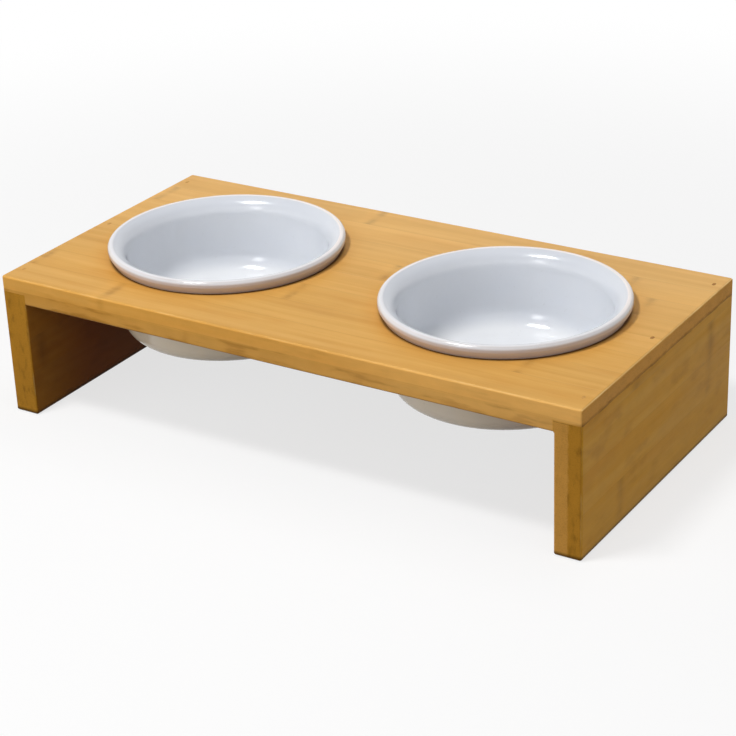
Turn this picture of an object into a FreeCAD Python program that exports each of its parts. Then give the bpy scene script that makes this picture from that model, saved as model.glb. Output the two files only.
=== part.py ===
# Raised pet feeder: a bamboo board on two side panels, with two glazed bowls dropped into round holes.
# Each end of the board is rebated over its side panel, glued, and pinned from above with three brads
# whose set heads are covered with filler. Each bowl hangs by its rim and lifts straight out.
# Millimetres, +Z up, +X along the board, +Y to the back. The origin is on the floor, under the middle.
import FreeCAD, Part
import math
import os

# Bowls
wall_diameter = 121.0        # outside of the wall, just under the rim
wall_thickness = 4.8
wall_draft = 1.0             # degrees that the wall leans in towards the foot
rim_overhang = 5.0           # how far the rim stands out past the wall
rim_height = 7.5             # above the board
rim_edge_height = 4.0        # above the board, where the rim's outer face starts to taper in
rim_edge_round = 1.6         # along that height
rim_top_round = 2.2          # outer top edge of the rim
crest_width = 3.0            # across the top of the rim, before its edges are rounded
crest_round = 2.0            # inner top edge of the rim
lip_depth = 3.6              # from the top of the rim to where the lip's slope meets the wall
lip_round = 9.0              # from the lip's slope into the wall
seat_width = 3.0             # flat underside of the rim, out from the wall
seat_edge_round = 0.6        # outer edge of that flat
seat_round = 0.6             # between the rim's underside and the wall
body_depth = 43.0            # rim's underside to the underside of the base
base_thickness = 6.5
floor_round = 14.0           # inside, from the wall to the floor
heel_round = 7.0             # outside, from the wall to the base
foot_diameter = 92.0
foot_width = 5.0
foot_height = 3.0
foot_round = 1.0

# Stand, laid out round the bowls
bowl_gap = 43.0              # between the two rims
end_margin = 22.5            # from a rim to the end of the board
edge_margin = 22.0           # from a rim to the front or back edge
hole_clearance = 0.75        # between a bowl's wall and its hole, all round
board_thickness = 15.0
stand_height = 81.0          # floor to the top of the board
panel_thickness = 15.0
rebate_depth = 6.0           # how far each side panel rises into the board's underside
edge_round = 1.2             # every sanded edge of the stand

# Brads, and the filler over their heads
brad_length = 25.0
brad_shank_width = 1.25
brad_head_width = 2.0
brad_head_height = 0.8
brad_point_length = 1.5
brad_thickness = 1.0
brad_end_inset = 5.5         # from the end of the board
brad_edge_inset = 12.5       # from the front and back edges, for the outer two of each three
filler_length = 3.2
filler_width = 1.8
filler_depth = 1.2           # how deep the heads are set below the board

# Working values
smallest_length = 1e-6       # two places nearer than this are one place
cut_overrun = 5.0            # how far a cutter reaches past what it cuts

# Places worked out from the sizes
rim_diameter = wall_diameter + 2 * rim_overhang
bowl_spacing = rim_diameter + bowl_gap
board_length = bowl_spacing + rim_diameter + 2 * end_margin
board_depth = rim_diameter + 2 * edge_margin
half_length = board_length / 2
half_depth = board_depth / 2
board_under = stand_height - board_thickness
panel_top = board_under + rebate_depth
hole_radius = wall_diameter / 2 + hole_clearance
brad_head_top = stand_height - filler_depth
brad_x = half_length - brad_end_inset
brad_outer_y = half_depth - brad_edge_inset

SIDES = {"left": -1, "right": 1}
BRAD_ROWS = {"front": -brad_outer_y, "middle": 0.0, "back": brad_outer_y}


def same(a, b):
    """True where two coordinates are one place."""
    return abs(a - b) < smallest_length


def eased(shape, joints):
    """The shape with every edge rounded, but for edges that lie wholly in one of the joints."""
    exposed = []
    for edge in shape.Edges:
        ends = [vertex.Point for vertex in edge.Vertexes]
        if not any(all(in_joint(end) for end in ends) for in_joint in joints):
            exposed.append(edge)
    return shape.makeFillet(edge_round, exposed)


def corner_reaches(points, rounds):
    """How far back from each corner its arc starts: all of it, or as much as the sides beside it hold."""
    count = len(points)
    wanted = []
    for i, radius in enumerate(rounds):
        back = points[i - 1] - points[i]
        ahead = points[(i + 1) % count] - points[i]
        wanted.append(radius / math.tan(back.getAngle(ahead) / 2))
    fits = []
    for i in range(count):
        needed = wanted[i] + wanted[(i + 1) % count]
        side = points[i].distanceToPoint(points[(i + 1) % count])
        fits.append(min(1, side / needed) if needed > 0 else 1)
    return [wanted[i] * min(fits[i - 1], fits[i]) for i in range(count)]


def rounded_wire(corners):
    """A closed wire in the XZ plane through corners (x, z, round), with a tangent arc at each round one."""
    points = [FreeCAD.Vector(x, 0, z) for x, z, _ in corners]
    reaches = corner_reaches(points, [radius for _, _, radius in corners])
    count = len(points)
    edges = []
    starts, ends = [], []
    for i, reach in enumerate(reaches):
        back = (points[i - 1] - points[i]).normalize()
        ahead = (points[(i + 1) % count] - points[i]).normalize()
        half_angle = back.getAngle(ahead) / 2
        starts.append(points[i] + back * reach)
        ends.append(points[i] + ahead * reach)
        if reach > smallest_length:
            radius = reach * math.tan(half_angle)
            middle = points[i] + (back + ahead).normalize() * (radius / math.sin(half_angle) - radius)
            edges.append(Part.Arc(starts[i], middle, ends[i]).toShape())
    for i in range(count):
        if ends[i].distanceToPoint(starts[(i + 1) % count]) > smallest_length:
            edges.append(Part.LineSegment(ends[i], starts[(i + 1) % count]).toShape())
    return Part.Wire(Part.__sortEdges__(edges))


def prism(points, direction):
    """A solid swept straight from the closed outline through the points."""
    return Part.Face(Part.makePolygon([*points, points[0]])).extrude(direction)


def brad(side, y):
    """A flat wire brad: a T head, a straight shank and a chisel point, cut from one strip."""
    half_head, half_shank = brad_head_width / 2, brad_shank_width / 2
    head_under = brad_head_top - brad_head_height
    tip = brad_head_top - brad_length
    point_start = tip + brad_point_length
    x = side * brad_x - brad_thickness / 2
    outline = [(-half_head, brad_head_top), (half_head, brad_head_top), (half_head, head_under),
               (half_shank, head_under), (half_shank, point_start), (0, tip), (-half_shank, point_start),
               (-half_shank, head_under), (-half_head, head_under)]
    points = [FreeCAD.Vector(x, y + across, z) for across, z in outline]
    return prism(points, FreeCAD.Vector(brad_thickness, 0, 0))


def filler(side, y):
    """The filled slot above a brad's head: straight along the board's end, with round ends."""
    radius = filler_width / 2
    straight = filler_length - filler_width
    x = side * brad_x
    slot = Part.makeBox(filler_width, straight, filler_depth,
                        FreeCAD.Vector(x - radius, y - straight / 2, brad_head_top))
    for end in (-straight / 2, straight / 2):
        slot = slot.fuse(Part.makeCylinder(radius, filler_depth, FreeCAD.Vector(x, y + end, brad_head_top)))
    return slot.removeSplitter()


def bowl_hole(side):
    """The cutter for the hole that one bowl hangs in."""
    start = FreeCAD.Vector(side * bowl_spacing / 2, 0, board_under - cut_overrun)
    return Part.makeCylinder(hole_radius, board_thickness + 2 * cut_overrun, start)


def in_rebate(side):
    """A test for points in the rebate at one end of the board."""
    shoulder = half_length - panel_thickness
    return lambda p: side * p.x > shoulder - smallest_length and p.z < panel_top + smallest_length


def top_board(pins):
    """The rebated board, with two bowl holes, eased edges, and the pockets of the brads and filler."""
    shoulder = half_length - panel_thickness
    outline = [(-half_length, stand_height), (half_length, stand_height), (half_length, panel_top),
               (shoulder, panel_top), (shoulder, board_under), (-shoulder, board_under),
               (-shoulder, panel_top), (-half_length, panel_top)]
    points = [FreeCAD.Vector(x, -half_depth, z) for x, z in outline]
    board = prism(points, FreeCAD.Vector(0, board_depth, 0))
    for side in SIDES.values():
        board = board.cut(bowl_hole(side))
    board = eased(board, [in_rebate(side) for side in SIDES.values()])
    for pin in pins:
        board = board.cut(pin)
    return board


def side_panel(side, brads):
    """One side panel: all its edges eased up to the board, and only the outer ones inside the rebate."""
    outer_x = side * half_length
    low_x = min(outer_x, outer_x - side * panel_thickness)
    leg = Part.makeBox(panel_thickness, board_depth, board_under, FreeCAD.Vector(low_x, -half_depth, 0))
    leg = eased(leg, [lambda p: same(p.z, board_under)])
    tongue = Part.makeBox(panel_thickness, board_depth, rebate_depth,
                          FreeCAD.Vector(low_x, -half_depth, board_under))
    tongue = eased(tongue, [lambda p: same(p.z, board_under), lambda p: same(p.z, panel_top),
                            lambda p: not same(p.x, outer_x)])
    panel = leg.fuse(tongue).removeSplitter()
    for pin in brads:
        panel = panel.cut(pin)
    return panel


def bowl(side):
    """One glazed bowl, turned from its section: flared lip, steep wall, rounded floor and foot ring."""
    lean = math.tan(math.radians(wall_draft))
    wall_radius = wall_diameter / 2
    rim_radius = rim_diameter / 2
    foot_outer = foot_diameter / 2
    foot_inner = foot_outer - foot_width
    floor_z = base_thickness - body_depth
    lip_foot = rim_height - lip_depth
    inner_at_seat = wall_radius - wall_thickness / math.cos(math.radians(wall_draft))
    section = [
        (0, floor_z, 0),
        (inner_at_seat + floor_z * lean, floor_z, floor_round),
        (inner_at_seat + lip_foot * lean, lip_foot, lip_round),
        (rim_radius - crest_width, rim_height, crest_round),
        (rim_radius, rim_height, rim_top_round),
        (rim_radius, rim_edge_height, rim_edge_round),
        (wall_radius + seat_width, 0, seat_edge_round),
        (wall_radius, 0, seat_round),
        (wall_radius - body_depth * lean, -body_depth, heel_round),
        (foot_outer, -body_depth, foot_round),
        (foot_outer, -body_depth - foot_height, foot_round),
        (foot_inner, -body_depth - foot_height, foot_round),
        (foot_inner, -body_depth, foot_round),
        (0, -body_depth, 0),
    ]
    turned = Part.Face(rounded_wire(section)).revolve(FreeCAD.Vector(), FreeCAD.Vector(0, 0, 1), 360)
    turned.translate(FreeCAD.Vector(side * bowl_spacing / 2, 0, stand_height))
    return turned


def build():
    """Every piece of the feeder, by name."""
    pieces = {}
    brads = {}
    for side_name, side in SIDES.items():
        for row_name, y in BRAD_ROWS.items():
            brads[side_name, row_name] = brad(side, y)
            pieces[f"{side_name}_{row_name}_brad"] = brads[side_name, row_name]
            pieces[f"{side_name}_{row_name}_filler"] = filler(side, y)
    pieces["top_board"] = top_board(list(pieces.values()))
    for side_name, side in SIDES.items():
        own_brads = [pin for (pin_side, _), pin in brads.items() if pin_side == side_name]
        pieces[f"{side_name}_side_panel"] = side_panel(side, own_brads)
        pieces[f"{side_name}_bowl"] = bowl(side)
    return pieces


os.makedirs("parts", exist_ok=True)
for name, shape in build().items():
    shape.exportStep(f"parts/{name}.step")
    print(f"{name}: {len(shape.Solids)} solid, valid {shape.isValid()}, {shape.Volume:.1f} mm3")
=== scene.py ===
import math
from collections import namedtuple
from types import SimpleNamespace
import bpy
from mathutils import Matrix, Vector


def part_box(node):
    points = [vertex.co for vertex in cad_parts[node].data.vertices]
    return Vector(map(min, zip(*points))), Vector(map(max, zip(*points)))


# Looks, light and camera of the raised feeder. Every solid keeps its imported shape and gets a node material.
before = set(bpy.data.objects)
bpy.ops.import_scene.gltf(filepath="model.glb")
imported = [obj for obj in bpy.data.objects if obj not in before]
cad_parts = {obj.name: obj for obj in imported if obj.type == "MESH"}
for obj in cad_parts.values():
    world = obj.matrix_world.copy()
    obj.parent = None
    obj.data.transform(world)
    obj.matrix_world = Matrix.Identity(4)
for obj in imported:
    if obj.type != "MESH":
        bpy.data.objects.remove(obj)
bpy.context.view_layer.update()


def linear(red, green, blue):
    """A colour written as 0 to 255 screen values, as the renderer wants it."""
    parts = [value / 255 for value in (red, green, blue)]
    return tuple(p / 12.92 if p <= 0.04045 else ((p + 0.055) / 1.055) ** 2.4 for p in parts) + (1.0,)


# Sizes read from the frame. All lengths are in metres.
BOARD_LOW, BOARD_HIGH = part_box("top_board")
PANEL_LOW, PANEL_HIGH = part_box("right_side_panel")
BOWL_LOW, BOWL_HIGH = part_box("right_bowl")
HALF_LENGTH = BOARD_HIGH[0]
HALF_DEPTH = BOARD_HIGH[1]
BOARD_TOP = BOARD_HIGH[2]
JOINT_HEIGHT = PANEL_HIGH[2]
JOINT_START = PANEL_LOW[0]
BOWL_X = (BOWL_LOW[0] + BOWL_HIGH[0]) / 2
BOWL_FOOT = BOWL_LOW[2]
RIM_RADIUS = (BOWL_HIGH[0] - BOWL_LOW[0]) / 2

# Bamboo strips, glued edge to edge in two plies
SKIN = 0.0002                # keeps the outer faces clear of the last glue line
BOARD_STRIPS = 8
BOARD_STRIP = (2 * HALF_DEPTH + 2 * SKIN) / BOARD_STRIPS
PANEL_STRIP = 0.021
PANEL_STRIP_START = -0.017   # below the floor, so the lowest strip shows narrow
PLIES = 2
PLY = (BOARD_HIGH[2] - BOARD_LOW[2] + 2 * SKIN) / PLIES
FIBRE_SWAY = 0.005           # how far fibres wander across a strip
PLY_SWAY = 0.002             # and through a ply
OWN_RUN, OWN_LANE, OWN_DEPTH = 3.0, 3.0, 2.0     # how far apart two strips' patterns may lie
STRIP_GLUE = 0.0002          # half the width of a glue line between strips
PLY_GLUE = 0.00018           # and between plies
GLUE_CORE = 0.00004          # half the width of its dark middle
GRAIN_RELIEF = 0.00006       # height of the bump

# Knuckles of the cane: where they cross each strip of the face, and the shape of their bars
BOARD_KNUCKLES = [-0.107, 0.129, -0.02, -0.09, 0.012, 0.15, 0.131, -0.037]
PANEL_KNUCKLES = [0.02, -0.045, 0.059, 0.06, -0.03]
BOARD_BAR = 0.0026
PANEL_BAR = 0.0046
KNUCKLE_PITCH = 0.30         # along one cane
BAR_RAGGED = 0.0014
BAR_FRAYED = 0.0022
BAR_BOW = 0.003
SCAR_OFFSET, SCAR_WIDTH = 0.0005, 0.0012
HALO_OFFSET, HALO_WIDTH = 0.005, 0.004

# Joint dirt, and painted shade, sheen and light on the stand
JOINT_LINE = 0.0004          # half the width of the dirt in the end joint
JOINT_BLEND = 0.001
TOP_BAND = 0.001             # the painted rim shade fades out from one to two of these below the board's top
# painted shadow: a dark line just inside each rim's edge, where it sits on the board
RIM_SHADE_INSET, RIM_SHADE_LINE_WIDTH = 0.0016, 0.001
# painted shade: a deeper ring on the board just outside each rim
RIM_SHADE_OUTSET, RIM_SHADE_WIDTH = 0.001, 0.007
# painted shade along the foot of each panel, where it meets the floor
FOOT_SHADE, FOOT_SHADE_FADES = 0.001, 0.0032       # heights above the floor
LOW_TONE_TOP = 0.05
SHEEN_FRONT = -0.06           # painted sheen: the top pales from here to the back edge
PAINTED_LIGHT_START, PAINTED_LIGHT_FULL = -0.1, 0.16           # painted light: the long edges brighten along this stretch
INNER_SHADE_FULL = -0.03      # painted shade: inner faces darken from the front edge to here

# Zones of a bowl, as heights above or below the board's top unless they say otherwise
LEAST_RADIUS = 0.001         # keeps the bowl's axis from dividing by 0
FLOOR_ZONE_LOW, FLOOR_ZONE_HIGH = 0.024, 0.018
LIP_DEPTH = 0.01
LIP_PALES_BY = 0.055         # the lip's painted shade lightens over this, to the right of the bowl's middle
CREST_RISE = 0.004
CREST_BLEND = 0.03           # in front of and behind the bowl's middle
BODY_LOW, BODY_HIGH = 0.004, 0.003
RIM_FACE_START = 0.0005
RIGHT_START, RIGHT_FULL = -0.06, 0.03            # across the bowl, from its middle
SEAT_BAND = 0.0004
SHADE_START, SHADE_END = 0.0002, 0.0032
TUCK_DEPTH = 0.0012
BARE_START, BARE_END, BARE_RAGGED = 0.0007, 0.0011, 0.0003     # above the foot
GLAZE_RELIEF = 0.00012       # height of the bump

# Bamboo colours: pale, amber and brown fibres, sawn ends light and dark, stains, and painted shade and light
Palette = namedtuple("Palette", "pale amber brown sawn soaked stain")
BOARD_PALETTE = Palette(pale=linear(236, 183, 102), amber=linear(228, 171, 88), brown=linear(198, 136, 58),
                        sawn=linear(208, 154, 78), soaked=linear(188, 134, 62), stain=linear(118, 72, 24))
PANEL_PALETTE = Palette(pale=linear(234, 182, 74), amber=linear(222, 166, 56), brown=linear(188, 128, 36),
                        sawn=linear(196, 144, 68), soaked=linear(191, 136, 46), stain=linear(104, 68, 20))
WARM_PATCH = linear(212, 138, 36)
# painted shade: upright faces turn a deeper, more saturated amber than the top
UPRIGHT_PAINTED_SHADE = linear(204, 140, 34)
SMUDGE = linear(150, 92, 14)
# painted shade on the board next to each rim
RIM_PAINTED_SHADE = linear(206, 138, 34)
LOW_ON_SIDE = linear(196, 138, 10)
# painted light on the front and back faces of the board
LONG_FACE_PAINTED_LIGHT = linear(238, 196, 130)
# painted sheen on the top, growing towards the back
TOP_PAINTED_SHEEN = linear(244, 212, 160)
INNER_PAINTED_SHADE = (0.42, 0.22, 0.14, 1.0)            # painted shade on the inner faces: the wood's own colour is multiplied by it
# pale rubbed wood, also a painted highlight on the upper edges of the ends
RUBBED_AND_HIGHLIT_WOOD = linear(250, 216, 152)
# painted shade along the feet
FOOT_PAINTED_SHADE = linear(64, 42, 10)
# dark dirt in the end joints, and painted shadow under each rim
JOINT_DIRT_AND_RIM_SHADE = linear(66, 35, 8)

# Glaze colours, with painted highlights, painted shade and painted bounced light among them
GLAZE_THIN, GLAZE_THICK = linear(217, 221, 229), linear(223, 226, 231)
# painted highlight: the bowl's floor whiter than its walls
FLOOR_PAINTED_HIGHLIGHT = linear(240, 241, 242)
# painted shade on the inner lip
LIP_PAINTED_SHADE = linear(203, 207, 215)
# painted light on the inner side of the front lip
LIP_FRONT_PAINTED_LIGHT = linear(244, 245, 247)
# thin warm glaze on the crest, with a painted highlight that grows towards the back
CREST_GLAZE_AND_HIGHLIGHT = linear(252, 240, 233)
# painted warm light, bounced from the board onto the bowl's outside
PAINTED_BOUNCE_CREAM = linear(250, 234, 204)
# thin warm glaze on the rim's outer round, with painted shade towards the right
SHOULDER_THIN_GLAZE, SHOULDER_PAINTED_SHADE = linear(222, 212, 204), linear(188, 180, 178)
# painted shade on the rim's outer face, lighter on the left than on the right
RIM_FACE_PAINTED_SHADE_LEFT, RIM_FACE_PAINTED_SHADE_RIGHT = linear(198, 184, 180), linear(180, 174, 180)
# painted shade on the lowest band of the rim, next to the board
RIM_FOOT_PAINTED_SHADE = linear(150, 104, 60)
# painted shade on the rim's underside, where it sits on the board
UNDER_RIM_PAINTED_SHADE = linear(84, 52, 28)
PINHOLE = linear(150, 140, 128)
CLAY_LIGHT, CLAY_DARK = linear(214, 198, 174), linear(186, 168, 142)

# Colours of the brads and the filler
STEEL, STEEL_STAIN = linear(176, 176, 174), linear(128, 112, 88)
BROWN_FILLER = linear(186, 132, 68), linear(156, 104, 52)
PALE_FILLER = linear(222, 168, 92), linear(196, 140, 70)
FILLER_CRACK = linear(92, 58, 26)

# The photograph's camera. Angles are in degrees, the lens and sensor in millimetres.
CAMERA_PLACE = (0.5702, -0.8806, 0.5247)
CAMERA_YAW, CAMERA_PITCH, CAMERA_ROLL = -32.83, 25.38, -2.26
LENS, SENSOR = 104.67, 36.0

# Stage: the floor turns from paper to plain white with distance, and bounces a dim warm light
FLOOR_HALF = 6.0
FLOOR_DROP = 0.0002
PAPER = (0.93, 0.93, 0.93, 1.0)
BOUNCED = (0.1, 0.07, 0.04, 1.0)
PAPER_NEAR, PAPER_FAR = 0.25, 0.8                # distances from the middle
WHITE_NEAR, WHITE_FAR = 0.72, 1.0                # shares of plain white there
WHITE = (1.0, 1.0, 1.0, 1.0)
SURROUND_STRENGTH = 0.01
SURROUND_COLOUR = (0.94, 0.98, 1.06)
LAMP_AIM = Vector((0.0, 0.0, 0.05))
NEUTRAL = (1.0, 1.0, 1.0)
COOL = (0.99, 1.0, 1.02)
WARM = (1.0, 0.99, 0.97)
WARMER = (1.0, 0.98, 0.95)


class Signal:
    """A number that varies over a surface. Arithmetic on it adds math nodes to its tree."""

    def __init__(self, graph, socket):
        self.graph = graph
        self.socket = socket

    def __add__(self, other):
        return self.graph.math("ADD", self, other)

    def __radd__(self, other):
        return self.graph.math("ADD", other, self)

    def __sub__(self, other):
        return self.graph.math("SUBTRACT", self, other)

    def __rsub__(self, other):
        return self.graph.math("SUBTRACT", other, self)

    def __mul__(self, other):
        return self.graph.math("MULTIPLY", self, other)

    def __rmul__(self, other):
        return self.graph.math("MULTIPLY", other, self)

    def __truediv__(self, other):
        return self.graph.math("DIVIDE", self, other)

    def __abs__(self):
        return self.graph.math("ABSOLUTE", self)

    def floor(self):
        return self.graph.math("FLOOR", self)

    def fraction(self):
        return self.graph.math("FRACT", self)

    def or_more(self, other):
        return self.graph.math("MAXIMUM", self, other)


class Graph:
    """The node tree of a material or world, written as plain expressions."""

    def __init__(self, owner):
        owner.use_nodes = True
        self.owner = owner
        self.tree = owner.node_tree
        self.tree.nodes.clear()
        self.coordinates = {}

    def node(self, kind, inputs=None, **settings):
        """A new node of that kind, with its settings and with values or signals on its inputs."""
        node = self.tree.nodes.new(kind)
        for name, value in settings.items():
            setattr(node, name, value)
        for name, value in (inputs or {}).items():
            self.feed(node.inputs[name], value)
        return node

    def feed(self, socket, value):
        """Links a signal or socket to that socket, or sets it to a plain value."""
        if isinstance(value, Signal):
            value = value.socket
        if isinstance(value, bpy.types.NodeSocket):
            self.tree.links.new(value, socket)
        else:
            socket.default_value = value

    def math(self, operation, *values):
        node = self.node("ShaderNodeMath", dict(enumerate(values)), operation=operation)
        return Signal(self, node.outputs[0])

    def vector(self, x, y, z):
        return self.node("ShaderNodeCombineXYZ", {"X": x, "Y": y, "Z": z}).outputs[0]

    def place(self):
        """The x, y and z of the surface point, in the object's own frame."""
        return self.split("Object")

    def facing(self):
        """The x, y and z of the surface's direction, in the object's own frame."""
        return self.split("Normal")

    def split(self, output):
        """The three parts of a texture coordinate, made once for each tree."""
        if output not in self.coordinates:
            whole = self.node("ShaderNodeTexCoord").outputs[output]
            parts = self.node("ShaderNodeSeparateXYZ", {"Vector": whole}).outputs
            self.coordinates[output] = [Signal(self, part) for part in parts]
        return self.coordinates[output]

    def noise(self, x, y, z, detail=2.0, roughness=0.5):
        """Smooth noise, mostly from 0.25 to 0.75, with lumps about 1 across in the given coordinates.

        A place times a number has about that many lumps to the metre.
        """
        settings = {"Vector": self.vector(x, y, z), "Scale": 1.0, "Detail": detail, "Roughness": roughness}
        return Signal(self, self.node("ShaderNodeTexNoise", settings).outputs[0])

    def dice(self, x, y, z):
        """Three steady random numbers for each whole x, y and z."""
        colour = self.node("ShaderNodeTexWhiteNoise", {"Vector": self.vector(x, y, z)}).outputs["Color"]
        parts = self.node("ShaderNodeSeparateColor", {"Color": colour}).outputs
        return [Signal(self, part) for part in parts]

    def ramp(self, value, low, high, to_low=0.0, to_high=1.0):
        """A smooth step from to_low to to_high as the value goes from low to high."""
        settings = {"Value": value, "From Min": low, "From Max": high, "To Min": to_low, "To Max": to_high}
        node = self.node("ShaderNodeMapRange", settings, interpolation_type="SMOOTHSTEP")
        return Signal(self, node.outputs[0])

    def fall(self, value, low, high):
        """A smooth step down from 1 to 0 as the value goes from low to high."""
        return self.ramp(value, low, high, 1.0, 0.0)

    def bell(self, distance, width):
        """1 at distance 0, falling off smoothly over the width."""
        share = distance / width
        return self.math("EXPONENT", share * share * -1.0)

    def length(self, x, y):
        return self.math("SQRT", x * x + y * y)

    def table(self, index, values):
        """The value for each whole index from 0. Values are 0 or more."""
        count = len(values)
        node = self.node("ShaderNodeValToRGB", {"Fac": (index + 0.5) / float(count)})
        steps = node.color_ramp
        steps.interpolation = "CONSTANT"
        for i, value in enumerate(values):
            step = steps.elements[i] if i < 2 else steps.elements.new(i / count)
            step.position = i / count
            step.color = (value, value, value, 1.0)
        return Signal(self, node.outputs[0])

    def mix(self, share, first, second, blend="MIX"):
        """The first colour where share is 0, and the second, or its blend with the first, where it is 1."""
        node = self.node("ShaderNodeMix", {0: share, 6: first, 7: second}, data_type="RGBA", blend_type=blend)
        return node.outputs[2]

    def layers(self, colour, *tints):
        """The colour with each tint (share, colour) laid over it in turn."""
        for share, tint in tints:
            colour = self.mix(share, colour, tint)
        return colour

    def shade(self, colour, amount):
        """The colour, brighter or darker by that amount: 1 leaves it as it is."""
        grey = self.node("ShaderNodeCombineColor", {"Red": amount, "Green": amount, "Blue": amount})
        return self.mix(1.0, colour, grey.outputs[0], "MULTIPLY")

    def bump(self, height, depth, strength):
        settings = {"Height": height, "Distance": depth, "Strength": strength}
        return self.node("ShaderNodeBump", settings).outputs[0]

    def show(self, shader, output="ShaderNodeOutputMaterial"):
        """Makes that shader what the tree shows, and gives back its material or world."""
        self.node(output, {"Surface": shader.outputs[0]})
        return self.owner

    def surface(self, inputs):
        return self.show(self.node("ShaderNodeBsdfPrincipled", inputs))


def new_material(name):
    return Graph(bpy.data.materials.new(name))


def cut_of(g, lay, strips, plies, seed):
    """Which strip and ply a point is in, and three random numbers for that length of cane."""
    axes = dict(zip("XYZ", g.place()))
    along, across, through = (axes[axis] for axis in lay)
    strip_start, strip_width = strips
    ply_start, pale_ply, face_ply = plies
    strip_at = (across - strip_start) / strip_width
    ply_at = (through - ply_start) / PLY
    strip, ply = strip_at.floor(), ply_at.floor()
    tone, shift, turn = g.dice(strip, ply, seed)
    return SimpleNamespace(
        along=along, across=across, through=through, tone=tone, shift=shift, turn=turn,
        strip=strip, strip_at=strip_at, strip_width=strip_width, ply_at=ply_at, pale_ply=pale_ply,
        on_face=g.fall(abs(ply - face_ply), 0.4, 0.6))


def fibres_of(g, cut, seed):
    """Fibres run nearly straight, and each strip has its own. On a sawn end they show as dots."""
    sway = g.noise(cut.along * 5.0, cut.across * 16.0, cut.through * 16.0 + seed) - 0.5
    run = cut.along + cut.tone * OWN_RUN
    lane = cut.across + sway * FIBRE_SWAY + cut.shift * OWN_LANE
    depth = cut.through + sway * PLY_SWAY + cut.turn * OWN_DEPTH
    fibre = g.noise(run * 24.0, lane * 1700.0, depth * 1700.0, detail=3.0, roughness=0.6)
    return SimpleNamespace(
        lines=g.ramp(fibre, 0.5, 0.74),
        streak=g.noise(run * 6.0, lane * 190.0, depth * 190.0, detail=3.0, roughness=0.55),
        band=g.noise(run * 3.4, lane * 52.0, depth * 52.0, detail=2.0),
        dots=g.ramp(g.noise(run * 3.0, lane * 1500.0, depth * 1500.0, detail=1.0), 0.5, 0.7))


def blotches_of(g, cut, seed):
    """Changes of tone that take no notice of the strips: slow, fine, warm, and dark."""
    along, across, through = cut.along, cut.across, cut.through
    warm = g.noise(along * 22.0, across * 60.0 + seed, through * 60.0, detail=2.0)
    smudge = g.noise(along * 45.0, across * 95.0 + seed, through * 260.0, detail=3.0)
    return SimpleNamespace(
        cloud=g.noise(along * 14.0, across * 34.0 + seed, through * 34.0, detail=3.0),
        mottle=g.noise(along * 85.0, across * 150.0, through * 150.0 + seed, detail=4.0, roughness=0.65),
        warm=g.ramp(warm, 0.52, 0.72),
        smudge=g.ramp(smudge, 0.51, 0.7))


def knuckles_of(g, cut, places, width, seed):
    """A soft dark bar across each strip, broken here and there, with a thin scar in it and a pale halo."""
    chosen = g.table(cut.strip, [place + HALF_LENGTH for place in places]) - HALF_LENGTH
    scattered = (cut.shift - 0.5) * KNUCKLE_PITCH
    knuckle = chosen * cut.on_face + scattered * (1.0 - cut.on_face)
    lap = ((cut.along - knuckle) / KNUCKLE_PITCH + 0.5).fraction() - 0.5
    ragged = g.noise(cut.across * 240.0, cut.through * 240.0, cut.strip * 3.7 + seed, detail=2.0) - 0.5
    frayed = g.noise(cut.along * 500.0, cut.across * 300.0, cut.through * 300.0, detail=2.0) - 0.5
    aside = cut.strip_at.fraction() - 0.3 - cut.tone * 0.4
    gap = lap * KNUCKLE_PITCH + ragged * BAR_RAGGED + frayed * BAR_FRAYED + aside * aside * BAR_BOW
    reach = g.ramp(g.noise(cut.across * 110.0, cut.through * 60.0, cut.strip * 5.3 + seed), 0.34, 0.62)
    return SimpleNamespace(
        bar=g.bell(gap, width) * (0.2 + 0.8 * reach),
        scar=g.bell(gap - SCAR_OFFSET, SCAR_WIDTH) * reach,
        halo=g.bell(gap + HALO_OFFSET, HALO_WIDTH))


def glue_of(g, cut):
    """Thin lines between strips and between plies."""
    strip_edge = (0.5 - abs(cut.strip_at.fraction() - 0.5)) * cut.strip_width
    ply_edge = (0.5 - abs(cut.ply_at.fraction() - 0.5)) * PLY
    return g.fall(strip_edge, GLUE_CORE, STRIP_GLUE).or_more(g.fall(ply_edge, GLUE_CORE, PLY_GLUE))


def dirt_and_shade_of(g, seed):
    """A broken dark line in each end joint, and painted shade: a dark line under each rim, a deeper ring
    round it, and a dark band along the feet.
    """
    x, y, z = g.place()
    broken = g.ramp(g.noise(x * 70.0, y * 70.0, seed, detail=3.0, roughness=0.65), 0.46, 0.62)
    at_ends = g.ramp(abs(x), JOINT_START - SKIN, JOINT_START)
    from_rim = g.length(abs(x) - BOWL_X, y) - RIM_RADIUS
    upper_face = g.ramp(z, BOARD_TOP - 2 * TOP_BAND, BOARD_TOP - TOP_BAND) * g.ramp(g.facing()[2], 0.9, 1.0)
    return SimpleNamespace(
        joint=g.bell(z - JOINT_HEIGHT, JOINT_LINE) * at_ends * broken,
        rim_shade_line=g.bell(from_rim + RIM_SHADE_INSET, RIM_SHADE_LINE_WIDTH) * upper_face,
        rim_painted_shade=g.bell(from_rim - RIM_SHADE_OUTSET, RIM_SHADE_WIDTH) * upper_face,
        foot=g.fall(z, FOOT_SHADE, FOOT_SHADE_FADES))


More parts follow.
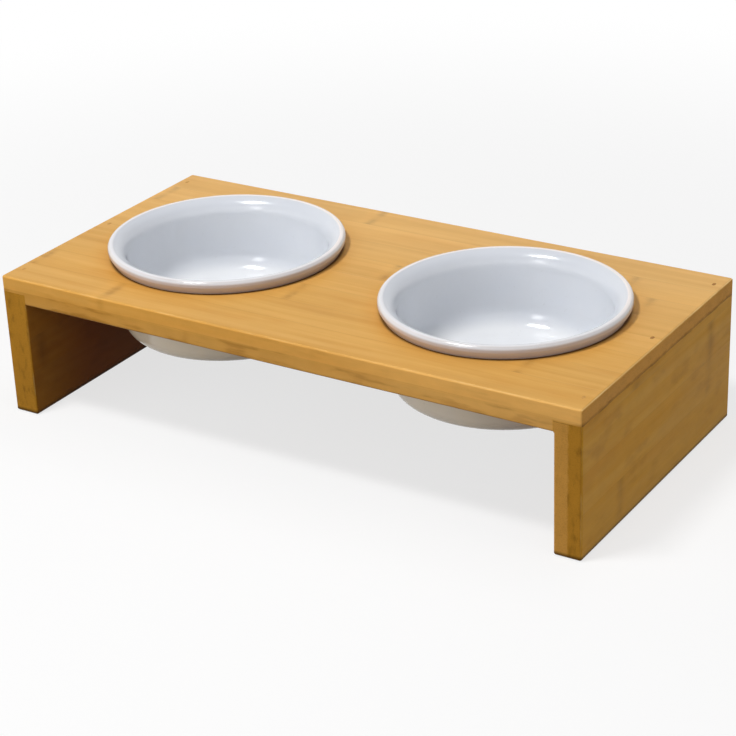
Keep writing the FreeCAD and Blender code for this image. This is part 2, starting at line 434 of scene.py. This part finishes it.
def wear_and_highlight_of(g, seed):
    """How far edges are rubbed pale: a little here and there, and more along the upper edges of the ends,
    where the paleness is also a painted highlight.
    """
    x, y, z = g.place()
    normal_x, normal_y, normal_z = g.facing()
    rounded = 1.0 - abs(normal_x).or_more(abs(normal_y)).or_more(abs(normal_z))
    rubbed = g.ramp(g.noise(x * 60.0, y * 60.0, z * 60.0 + seed, detail=2.0), 0.4, 0.68)
    any_edge = g.ramp(rounded, 0.04, 0.22) * rubbed
    end_edge_highlight = g.ramp(rounded, 0.1, 0.25) * g.ramp(abs(normal_x), 0.3, 0.5) * g.ramp(normal_z, 0.3, 0.5)
    return (any_edge * 0.25).or_more(end_edge_highlight * (0.5 + 0.35 * rubbed))


def faces_of(g, lay, cut, fibres):
    """Upright, sawn and inner faces, the paler ply, slow changes along and up the stand, painted shade on the
    inner faces, painted sheen on the top and painted light on the long faces.
    """
    x, y, z = g.place()
    normals = {axis: abs(part) for axis, part in zip("XYZ", g.facing())}
    upright = g.fall(normals["Z"], 0.3, 0.95)
    from_pale_ply = abs(cut.ply_at - (cut.pale_ply + 0.5)) + (fibres.streak - 0.5) * 0.35
    on_board = g.fall(x, JOINT_START - JOINT_BLEND, JOINT_START)
    on_board = on_board.or_more(g.ramp(z, JOINT_HEIGHT, JOINT_HEIGHT + JOINT_BLEND))
    inner = g.ramp(normals[lay[2]], 0.5, 0.9) * (1.0 - cut.on_face)
    return SimpleNamespace(
        upright=upright,
        front_or_back=normals["Y"],
        sawn=g.ramp(normals[lay[0]], 0.5, 0.9),
        inner=inner * g.ramp(y, -HALF_DEPTH, INNER_SHADE_FULL, 0.6, 1.0),
        pale_ply=g.fall(from_pale_ply, 0.42, 0.62),
        low=g.fall(z, 0.0, LOW_TONE_TOP) * upright,
        painted_sheen=g.ramp(y, SHEEN_FRONT, HALF_DEPTH) * (1.0 - upright),
        bright=g.ramp(x, PAINTED_LIGHT_START, PAINTED_LIGHT_FULL) * normals["Y"] * on_board)


def bamboo(name, lay, strips, plies, knuckles, palette, seed):
    """Oiled bamboo board.

    lay names the axes along the fibres, across the strips and through the plies. strips is where the first
    strip starts and how wide they are. plies is where the first ply starts, which ply is paler, or -1, and
    which is the face. knuckles is one place along the fibres for each strip of the face, and their width.
    """
    g = new_material(name)
    cut = cut_of(g, lay, strips, plies, seed)
    fibres = fibres_of(g, cut, seed)
    blotches = blotches_of(g, cut, seed)
    knuckle = knuckles_of(g, cut, *knuckles, seed)
    glue = glue_of(g, cut)
    dirt_and_shade = dirt_and_shade_of(g, seed)
    face = faces_of(g, lay, cut, fibres)

    colour = g.layers(
        g.mix(g.ramp(fibres.streak, 0.25, 0.77), palette.pale, palette.amber),
        (g.ramp(fibres.band, 0.42, 0.8) * 0.16, palette.brown),
        (fibres.lines * (0.05 + 0.1 * fibres.band), palette.brown),
        (blotches.warm * 0.16, WARM_PATCH),
        (knuckle.bar * (0.28 + 0.16 * face.upright) + knuckle.scar * 0.05, palette.stain),
        (glue * 0.22, palette.stain),
        # painted shade on the upright faces
        (face.upright * 0.34, UPRIGHT_PAINTED_SHADE),
        (blotches.smudge * face.upright * (0.22 + 0.22 * face.front_or_back - 0.3 * face.pale_ply), SMUDGE),
        # painted shade in a ring round each rim
        (dirt_and_shade.rim_painted_shade * (0.12 + 0.3 * blotches.cloud), RIM_PAINTED_SHADE),
        (face.low * 0.3, LOW_ON_SIDE),
        # painted light on the long faces towards the right
        (face.bright * 0.24, LONG_FACE_PAINTED_LIGHT),
        # painted sheen on the top towards the back
        (face.painted_sheen * 0.2, TOP_PAINTED_SHEEN))
    # painted shade on the inner faces, under the board
    colour = g.mix(face.inner, colour, INNER_PAINTED_SHADE, "MULTIPLY")
    sawn_colour = g.layers(
        g.mix(face.pale_ply, palette.soaked, palette.sawn),
        (fibres.dots * 0.16 + fibres.lines * 0.08, palette.stain),
        (blotches.smudge * (0.4 - 0.3 * face.pale_ply), palette.stain))
    colour = g.layers(
        colour,
        (face.sawn, sawn_colour),
        # wear on the edges, and a painted highlight along the upper end edges
        (wear_and_highlight_of(g, seed), RUBBED_AND_HIGHLIT_WOOD),
        # painted shade along the feet
        (dirt_and_shade.foot * 0.8, FOOT_PAINTED_SHADE),
        # dirt in the end joints, and painted shadow under each rim
        ((dirt_and_shade.joint * 0.55).or_more(dirt_and_shade.rim_shade_line * 0.85), JOINT_DIRT_AND_RIM_SHADE))

    level = 0.9 + cut.tone * 0.06 + (blotches.cloud - 0.5) * 0.16 + knuckle.halo * 0.03
    level = level + face.pale_ply * (0.03 + 0.17 * face.upright)
    level = level + (blotches.mottle - 0.5) * (0.06 + 0.16 * face.upright)
    # painted sheen on the top towards the back, and painted light on the long faces towards the right
    level = level + (1.0 - face.upright) * (face.painted_sheen * 0.1 - 0.07) + face.bright * 0.1
    roughness = 0.42 + fibres.lines * 0.1 + (fibres.streak - 0.5) * 0.14 + (blotches.cloud - 0.5) * 0.12
    relief = fibres.streak * 0.3 - fibres.lines * 0.6 - glue * 0.8 + knuckle.bar * 0.5 - knuckle.scar
    return g.surface({
        "Base Color": g.shade(colour, level),
        "Roughness": roughness + face.sawn * 0.16,
        "IOR": 1.45,
        "Specular IOR Level": 0.08,
        "Normal": g.bump(relief - dirt_and_shade.joint * 2.0, GRAIN_RELIEF, 0.5),
    })


def bowl_zones(g, side):
    """The parts of a bowl, told apart by height and by the way they face."""
    x, y, z = g.place()
    normal_x, normal_y, normal_z = g.facing()
    from_x = x - side * BOWL_X
    outward = (normal_x * from_x + normal_y * y) / g.length(from_x, y).or_more(LEAST_RADIUS)
    outside = g.ramp(outward, 0.15, 0.75)
    lip = g.fall(outward, -0.35, 0.05) * g.ramp(normal_z, 0.1, 0.7)
    lip = lip * g.ramp(z, BOARD_TOP - LIP_DEPTH, BOARD_TOP)
    floor = g.fall(z, BOARD_TOP - FLOOR_ZONE_LOW, BOARD_TOP - FLOOR_ZONE_HIGH)
    crest = g.ramp(outward, -0.5, -0.2) * g.ramp(normal_z, 0.7, 0.9)
    crest = crest * g.ramp(z, BOARD_TOP, BOARD_TOP + CREST_RISE)
    seated = outside * g.ramp(z, BOARD_TOP - SEAT_BAND, BOARD_TOP)
    shaded_rim_face = outside * g.ramp(z, BOARD_TOP, BOARD_TOP + RIM_FACE_START)
    under = g.fall(normal_z, -0.9, -0.5)
    return SimpleNamespace(
        outside=outside,
        lip=lip,
        lip_painted_shade=lip * (0.9 - 0.55 * g.ramp(from_x, 0.0, LIP_PALES_BY)),
        lip_front_painted_light=lip * g.ramp(normal_y, 0.3, 0.9),
        crest=crest * (0.2 + 0.65 * g.ramp(y, -CREST_BLEND, CREST_BLEND)),
        floor=floor * g.ramp(normal_z, 0.45, 0.95),
        body=outside * g.fall(z, BOARD_TOP - BODY_LOW, BOARD_TOP + BODY_HIGH),
        shoulder=g.bell(outward - 0.62, 0.25) * g.ramp(normal_z, 0.1, 0.45),
        # painted shade on the rim's outer face
        shaded_rim_face=shaded_rim_face * g.fall(normal_z, -0.1, 0.65),
        rim_foot_shade=seated * g.fall(z, BOARD_TOP + SHADE_START, BOARD_TOP + SHADE_END),
        under_rim_shade=under * g.ramp(z, BOARD_TOP - TUCK_DEPTH, BOARD_TOP - SEAT_BAND),
        rightward=g.ramp(from_x, RIGHT_START, RIGHT_FULL))


def glaze(name, side):
    """Glossy white glaze, thin and warm on the crest, wiped off the foot, with painted highlights, painted
    shade and painted warm bounced light in its colour.
    """
    g = new_material(name)
    x, y, z = g.place()
    zone = bowl_zones(g, side)
    pool = g.noise(x * 55.0, y * 55.0, z * 55.0 + side, detail=2.0)
    peel = g.noise(x * 380.0, y * 380.0, z * 380.0, detail=1.0)
    pinhole = g.ramp(g.noise(x * 700.0, y * 700.0 + side * 4.0, z * 700.0, detail=0.0), 0.8, 0.84)
    grit = g.noise(x * 1600.0, y * 1600.0, z * 1600.0, detail=2.0)
    bare = g.fall(z + (peel - 0.5) * BARE_RAGGED, BOWL_FOOT + BARE_START, BOWL_FOOT + BARE_END)

    colour = g.layers(
        g.mix(pool, GLAZE_THIN, GLAZE_THICK),
        # painted highlight on the bowl's floor
        (zone.floor * 0.8, FLOOR_PAINTED_HIGHLIGHT),
        # painted shade on the lip, lighter to the right
        (zone.lip_painted_shade, LIP_PAINTED_SHADE),
        # painted light on the inner side of the front lip
        (zone.lip_front_painted_light * 0.8, LIP_FRONT_PAINTED_LIGHT),
        # thin glaze on the crest, and a painted highlight at its back
        (zone.crest, CREST_GLAZE_AND_HIGHLIGHT),
        # painted warm bounced light on the outside
        (zone.body * (0.6 + 0.4 * pool), PAINTED_BOUNCE_CREAM),
        # thin glaze on the outer round, painted shade on its right
        (zone.shoulder * (0.3 + 0.5 * pool), g.mix(zone.rightward, SHOULDER_THIN_GLAZE, SHOULDER_PAINTED_SHADE)),
        # painted shade on the rim's outer face
        (zone.shaded_rim_face * (0.75 + 0.2 * pool), g.mix(zone.rightward, RIM_FACE_PAINTED_SHADE_LEFT, RIM_FACE_PAINTED_SHADE_RIGHT)),
        # painted shade at the rim's foot
        (zone.rim_foot_shade * 0.2, RIM_FOOT_PAINTED_SHADE),
        # painted shade under the rim
        (zone.under_rim_shade * 0.85, UNDER_RIM_PAINTED_SHADE),
        (pinhole * 0.08, PINHOLE),
        (bare, g.mix(grit, CLAY_LIGHT, CLAY_DARK)))
    return g.surface({
        "Base Color": colour,
        "Roughness": 0.12 + (pool - 0.5) * 0.06 + zone.outside * 0.03 + zone.lip * 0.05 + bare * 0.6,
        "IOR": 1.7,
        "Normal": g.bump(pool * 1.5 + peel * 0.12 - pinhole * 0.15 + bare * grit, GLAZE_RELIEF, 0.5),
    })


def drawn_steel():
    """Bright brad wire, with drawing lines down its length and a trace of glue."""
    relief = 0.00002
    g = new_material("drawn_steel")
    x, y, z = g.place()
    lines = g.noise(x * 5200.0, y * 5200.0, z * 60.0, detail=2.0)
    stain = g.ramp(g.noise(x * 600.0, y * 600.0, z * 300.0), 0.5, 0.75)
    return g.surface({
        "Base Color": g.mix(stain * 0.6, STEEL, STEEL_STAIN),
        "Metallic": 1.0,
        "Roughness": 0.26 + lines * 0.2 + stain * 0.2,
        "Normal": g.bump(lines, relief, 0.4),
    })


def filler(name, light, dark):
    """Putty, sanded flush: grainy, a little cracked."""
    relief = 0.00008
    g = new_material(name)
    x, y, z = g.place()
    grain = g.noise(x * 2600.0, y * 2600.0, z * 2600.0, detail=3.0)
    crack = g.bell(g.noise(x * 900.0, y * 900.0, z * 900.0) - 0.5, 0.03)
    return g.surface({
        "Base Color": g.layers(g.mix(grain, light, dark), (crack * 0.5, FILLER_CRACK)),
        "Roughness": 0.6 + grain * 0.2,
        "Specular IOR Level": 0.3,
        "Normal": g.bump(grain - crack, relief, 0.6),
    })


def dress(nodes, material):
    """Gives the named parts that material."""
    for name in nodes:
        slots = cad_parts[name].data.materials
        slots.clear()
        slots.append(material)


def dress_feeder():
    """Every part of the feeder in its own finish."""
    dress(["top_board"], bamboo(
        "bamboo_top", lay="XYZ", strips=(-HALF_DEPTH - SKIN, BOARD_STRIP), plies=(BOARD_LOW[2] - SKIN, 1, 1),
        knuckles=(BOARD_KNUCKLES, BOARD_BAR), palette=BOARD_PALETTE, seed=1.0))
    panel = {"lay": "YZX", "strips": (PANEL_STRIP_START, PANEL_STRIP),
             "knuckles": (PANEL_KNUCKLES, PANEL_BAR), "palette": PANEL_PALETTE}
    dress(["right_side_panel"], bamboo("bamboo_right", plies=(PANEL_LOW[0] - SKIN, 0, 1), seed=2.0, **panel))
    dress(["left_side_panel"], bamboo("bamboo_left", plies=(-HALF_LENGTH - SKIN, -1, 0), seed=3.0, **panel))
    for name, side in {"left": -1, "right": 1}.items():
        dress([f"{name}_bowl"], glaze(f"glaze_{name}", side))
    pins = [f"{side}_{row}" for side in ("left", "right") for row in ("front", "middle", "back")]
    brown_pins = ["right_middle", "right_back"]
    pale_pins = [pin for pin in pins if pin not in brown_pins]
    dress([f"{pin}_brad" for pin in pins], drawn_steel())
    dress([f"{pin}_filler" for pin in brown_pins], filler("brown_filler", *BROWN_FILLER))
    dress([f"{pin}_filler" for pin in pale_pins], filler("pale_filler", *PALE_FILLER))


def add(name, data):
    """A new object in the scene."""
    obj = bpy.data.objects.new(name, data)
    bpy.context.collection.objects.link(obj)
    return obj


def softbox(name, place, size, watts, colour, lights=True, mirrored=False):
    """A rectangular lamp that faces the feeder, and lights it, shows in its glaze as a highlight, or both."""
    lamp = bpy.data.lights.new(name, "AREA")
    lamp.shape = "RECTANGLE"
    lamp.size, lamp.size_y = size
    lamp.energy = watts
    lamp.color = colour
    obj = add(name, lamp)
    obj.visible_diffuse = lights
    obj.visible_glossy = mirrored
    obj.location = place
    obj.rotation_euler = (LAMP_AIM - Vector(place)).to_track_quat("-Z", "Y").to_euler()


def light_feeder():
    """A key lamp and a small glint that show in the glaze, and soft fills that don't."""
    softbox("key_lamp", (-0.27, -0.51, 1.28), (0.34, 0.18), 11.0, NEUTRAL, mirrored=True)
    softbox("glint", (-0.11, -1.1, 0.66), (0.24, 0.4), 1.3, NEUTRAL, lights=False, mirrored=True)
    softbox("ceiling", (0.2, 0.1, 1.3), (1.3, 0.45), 3.2, COOL)
    softbox("back_lamp", (0.1, 0.6, 1.2), (1.2, 0.5), 1.2, NEUTRAL)
    softbox("front_fill", (-0.8, -1.4, 1.1), (2.2, 1.4), 5.2, NEUTRAL)
    softbox("low_fill", (-1.1, -1.9, 0.45), (2.2, 1.1), 17.4, WARM)
    softbox("right_fill", (1.6, -0.3, 0.5), (1.5, 0.8), 4.6, WARMER)
    softbox("low_right_fill", (1.8, 0.1, 0.25), (1.5, 0.6), 5.2, WARMER)


def seen_directly(g):
    """1 for rays from the camera, and those it sends on by mirror or glass. 0 for soft bounced light."""
    path = g.node("ShaderNodeLightPath").outputs
    camera_ray, glossy_ray, through_ray = (
        Signal(g, path[name]) for name in ("Is Camera Ray", "Is Glossy Ray", "Is Transmission Ray"))
    return camera_ray.or_more(glossy_ray).or_more(through_ray)


def pale_floor():
    """White paper as it is seen, with the shadows on it softened. It bounces a dimmer, warmer light."""
    g = new_material("pale_floor")
    x, y, _ = g.place()
    whitened = g.ramp(g.length(x, y), PAPER_NEAR, PAPER_FAR, WHITE_NEAR, WHITE_FAR)
    paper = g.node("ShaderNodeBsdfDiffuse", {"Color": PAPER}).outputs[0]
    white = g.node("ShaderNodeEmission", {"Color": WHITE}).outputs[0]
    bounced = g.node("ShaderNodeBsdfDiffuse", {"Color": BOUNCED}).outputs[0]
    shown = g.node("ShaderNodeMixShader", {0: whitened, 1: paper, 2: white}).outputs[0]
    return g.show(g.node("ShaderNodeMixShader", {0: seen_directly(g), 1: bounced, 2: shown}))


def add_floor():
    """A wide floor, just under the feet."""
    mesh = bpy.data.meshes.new("floor")
    turns = [(-1, -1), (1, -1), (1, 1), (-1, 1)]
    corners = [(x * FLOOR_HALF, y * FLOOR_HALF, -FLOOR_DROP) for x, y in turns]
    mesh.from_pydata(corners, [], [(0, 1, 2, 3)])
    mesh.materials.append(pale_floor())
    obj = add("floor", mesh)


def add_surround():
    """An even pale surround: white where it is seen, and a faint light everywhere else."""
    g = Graph(bpy.data.worlds.new("surround"))
    light = tuple(part * SURROUND_STRENGTH for part in SURROUND_COLOUR) + (1.0,)
    background = g.node("ShaderNodeBackground", {"Color": g.mix(seen_directly(g), light, WHITE)})
    bpy.context.scene.world = g.show(background, "ShaderNodeOutputWorld")


def add_camera():
    """The photograph's camera: where it stood, how it was turned, and its lens."""
    yaw, pitch, roll = (math.radians(angle) for angle in (CAMERA_YAW, CAMERA_PITCH, CAMERA_ROLL))
    ahead = Vector((math.sin(yaw) * math.cos(pitch), math.cos(yaw) * math.cos(pitch), -math.sin(pitch)))
    level = Vector((math.cos(yaw), -math.sin(yaw), 0.0))
    over = level.cross(ahead)
    right = level * math.cos(roll) + over * math.sin(roll)
    up = over * math.cos(roll) - level * math.sin(roll)
    data = bpy.data.cameras.new("photo_camera")
    data.sensor_fit = "HORIZONTAL"
    data.sensor_width = SENSOR
    data.lens = LENS
    obj = add("photo_camera", data)
    obj.matrix_world = Matrix.Translation(CAMERA_PLACE) @ Matrix((right, up, -ahead)).transposed().to_4x4()
    bpy.context.scene.camera = obj


dress_feeder()
add_floor()
add_surround()
light_feeder()
add_camera()
bpy.context.scene.view_settings.view_transform = "Standard"
